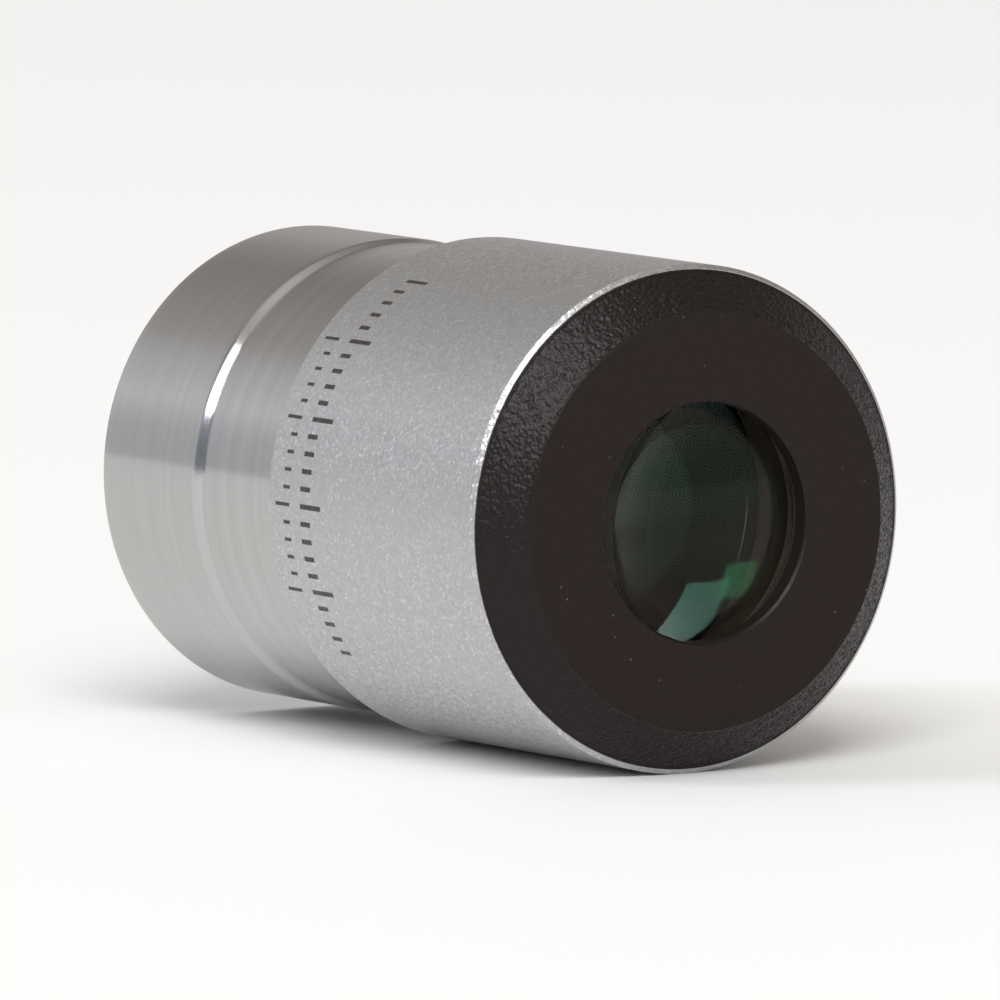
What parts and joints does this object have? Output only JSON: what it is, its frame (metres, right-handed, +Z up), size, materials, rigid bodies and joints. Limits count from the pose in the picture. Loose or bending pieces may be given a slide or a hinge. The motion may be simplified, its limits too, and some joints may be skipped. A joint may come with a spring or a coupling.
{
  "type": "telescope eyepiece",
  "caption": "Plossl-type telescope eyepiece with a 1.25 inch barrel, cemented doublets in a cell, a silver housing that unscrews and a black bezel round the eye lens.",
  "frame": {"origin": "centre of the nose rim, where the barrel's full-diameter nose begins, on the optical axis", "axes": "+X along the optical axis from the nose to the eye, +Z up as the eyepiece lies in a level holder"},
  "size_m": [0.0495, 0.0334, 0.0334],
  "materials": {
    "turned_aluminium": "fine-turned, bare",
    "silver_paint": "metallic silver paint with fine flake",
    "black_bezel": "black, grained on the cone and matte on the face",
    "black_anodised": "black anodised, matte",
    "flint_glass": "polished, multi-coated",
    "crown_glass": "polished, coated inside the pair"
  },
  "bodies": {
    "barrel": {"nose_barrel": "turned_aluminium"},
    "stop": {"field_stop": "black_anodised"},
    "lens_pack": {"lens_cell": "black_anodised", "eye_flint": "flint_glass", "eye_crown": "crown_glass", "lens_spacer": "black_anodised", "field_crown": "crown_glass", "field_flint": "flint_glass", "retaining_ring": "black_anodised"},
    "housing": {"housing": "silver_paint", "eye_bezel": "black_bezel"}
  },
  "joints": [
    {"name": "stop_travel", "type": "slide", "parent": "barrel", "child": "stop", "axis": [-1, 0, 0], "range_m": [-0.0008, 0.022]},
    {"name": "housing_travel", "type": "slide", "parent": "barrel", "child": "lens_pack", "axis": [1, 0, 0], "range_m": [0, 0.004]},
    {"name": "housing_turn", "type": "hinge", "parent": "lens_pack", "child": "housing", "pos_m": [0.035, 0, 0], "axis": [1, 0, 0], "range_deg": [0, 1440]}
  ],
  "couplings": [
    {"joint": "housing_turn", "follows": "housing_travel", "rad_per_m": 6283.2}
  ]
}
